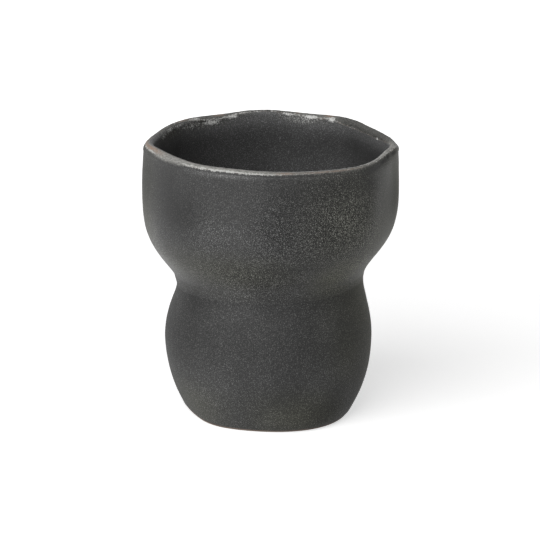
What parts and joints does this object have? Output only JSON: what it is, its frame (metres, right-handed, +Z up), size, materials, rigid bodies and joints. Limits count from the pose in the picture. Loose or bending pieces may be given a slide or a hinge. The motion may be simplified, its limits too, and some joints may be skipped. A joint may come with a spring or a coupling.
{
  "type": "stoneware mug",
  "caption": "Handle-less waisted stoneware mug, shaped by hand, with a matte charcoal glaze inside and out, a bare rounded lip and a flat foot ring.",
  "frame": {"origin": "on the table surface, under the middle of the mug's outline", "axes": "+Z up out of the mouth, -Y towards the viewer of the picture, +X to the viewer's right"},
  "size_m": [0.0904, 0.0902, 0.0984],
  "materials": {
    "bare_clay": "fired, bare, rough",
    "outer_glaze": "matte charcoal with fine pale specks",
    "inner_glaze": "matte charcoal, slightly smoother",
    "recess_glaze": "matte charcoal"
  },
  "bodies": {
    "root": {"clay_body": "bare_clay", "outer_glaze": "outer_glaze", "inner_glaze": "inner_glaze", "recess_glaze": "recess_glaze"}
  },
  "joints": []
}
